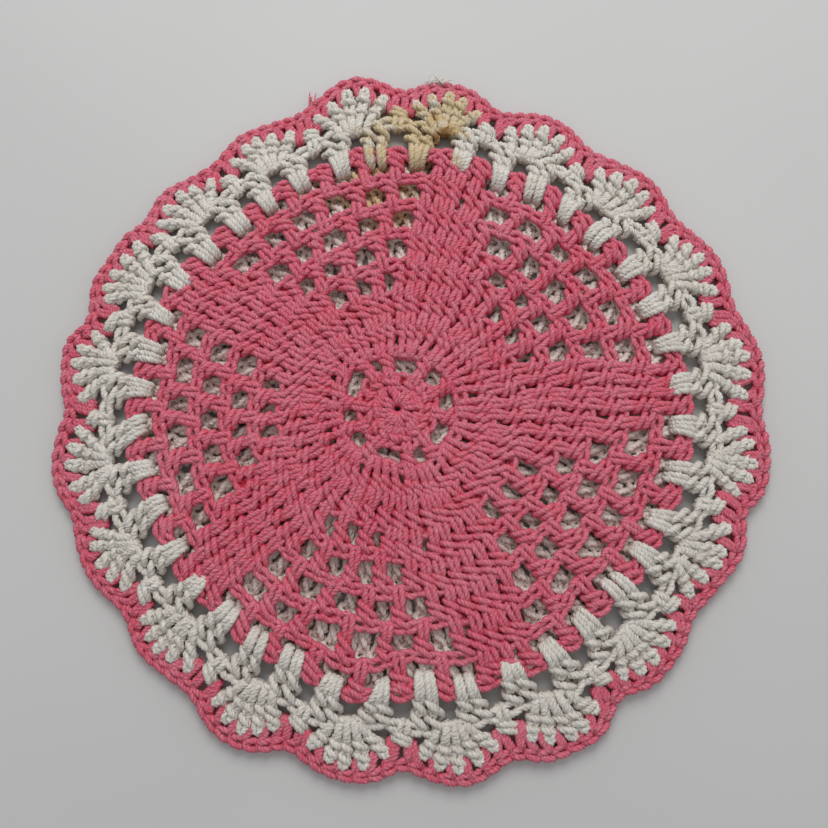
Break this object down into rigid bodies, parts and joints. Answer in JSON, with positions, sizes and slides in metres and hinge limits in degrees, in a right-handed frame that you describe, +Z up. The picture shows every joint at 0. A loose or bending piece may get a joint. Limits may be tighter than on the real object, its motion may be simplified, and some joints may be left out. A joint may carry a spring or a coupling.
{
  "type": "crocheted hot pad",
  "caption": "Round double-layer crocheted cotton hot pad with a pink pinwheel face, white back, white shell border and pink scalloped edging.",
  "frame": {"origin": "middle of the underside, on the surface the pad lies on", "axes": "+Z up out of the pink face; the looser side of the work is towards +X, and the discoloured patch of the border is towards +Y"},
  "size_m": [0.1912, 0.1912, 0.0067],
  "materials": {
    "pink_yarn": "mercerised plied crochet cotton, rose pink, soft sheen",
    "white_yarn": "mercerised plied crochet cotton, off-white, soft sheen",
    "border_yarn": "mercerised plied crochet cotton, off-white with an aged tan patch, soft sheen"
  },
  "bodies": {
    "root": {"front_centre_ring": "pink_yarn", "front_second_round": "pink_yarn", "front_eyelet_round": "pink_yarn", "front_fan_round": "pink_yarn", "front_pinwheel_round_1": "pink_yarn", "front_pinwheel_round_2": "pink_yarn", "front_pinwheel_round_3": "pink_yarn", "front_pinwheel_round_4": "pink_yarn", "front_pinwheel_round_5": "pink_yarn", "front_pinwheel_round_6": "pink_yarn", "back_centre_ring": "white_yarn", "back_round_1": "white_yarn", "back_round_2": "white_yarn", "back_round_3": "white_yarn", "back_round_4": "white_yarn", "back_round_5": "white_yarn", "back_round_6": "white_yarn", "back_round_7": "white_yarn", "back_round_8": "white_yarn", "joining_round": "border_yarn", "shell_round": "border_yarn", "edging_round": "pink_yarn"}
  },
  "joints": []
}
